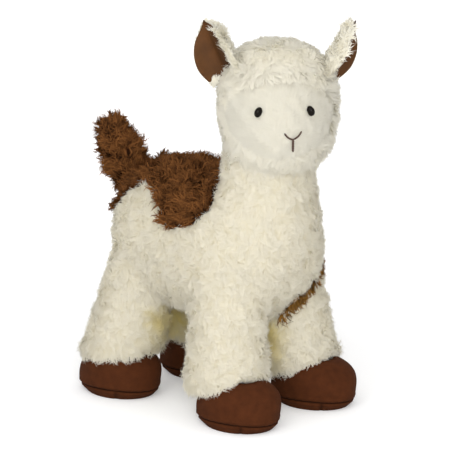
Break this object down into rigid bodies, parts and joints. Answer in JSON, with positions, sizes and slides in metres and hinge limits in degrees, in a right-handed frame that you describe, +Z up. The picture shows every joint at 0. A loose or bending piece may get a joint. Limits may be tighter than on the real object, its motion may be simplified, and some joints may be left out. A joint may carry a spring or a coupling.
{
  "type": "plush llama",
  "caption": "Standing stuffed toy llama with a turned head, a dark saddle patch, an upright tail and suede hooves.",
  "frame": {"origin": "on the ground, under the middle of the whole toy's box", "axes": "+Z up, the body faces -Y, the toy's own left side is +X"},
  "size_m": [0.1558, 0.2506, 0.3265],
  "materials": {
    "cream_pile": "long curly pile",
    "face_pile": "short smooth pile",
    "brown_pile": "long curly pile",
    "suede": "fine suede",
    "satin": "soft satin",
    "eye": "polished",
    "washer": "moulded",
    "thread": "satin stitch",
    "fibre": "loose fibre"
  },
  "bodies": {
    "root": {"body_side_left": "cream_pile", "body_side_right": "cream_pile", "body_stuffing": "fibre", "ear_back_left": "cream_pile", "ear_back_right": "cream_pile", "ear_lining_left": "satin", "ear_lining_right": "satin", "eye_left": "eye", "eye_right": "eye", "eye_washer_left": "washer", "eye_washer_right": "washer", "face_panel": "face_pile", "flank_patch": "brown_pile", "fore_leg_left_hoof_sole": "suede", "fore_leg_left_hoof_stuffing": "fibre", "fore_leg_left_hoof_upper": "suede", "fore_leg_left_skin": "cream_pile", "fore_leg_left_stuffing": "fibre", "fore_leg_right_hoof_sole": "suede", "fore_leg_right_hoof_stuffing": "fibre", "fore_leg_right_hoof_upper": "suede", "fore_leg_right_skin": "cream_pile", "fore_leg_right_stuffing": "fibre", "head_panel": "cream_pile", "head_stuffing": "fibre", "hind_leg_left_hoof_sole": "suede", "hind_leg_left_hoof_stuffing": "fibre", "hind_leg_left_hoof_upper": "suede", "hind_leg_left_skin": "cream_pile", "hind_leg_left_stuffing": "fibre", "hind_leg_right_hoof_sole": "suede", "hind_leg_right_hoof_stuffing": "fibre", "hind_leg_right_hoof_upper": "suede", "hind_leg_right_skin": "cream_pile", "hind_leg_right_stuffing": "fibre", "mouth_stitching": "thread", "saddle_panel": "brown_pile", "tail_skin": "brown_pile", "tail_stuffing": "fibre"}
  },
  "joints": []
}
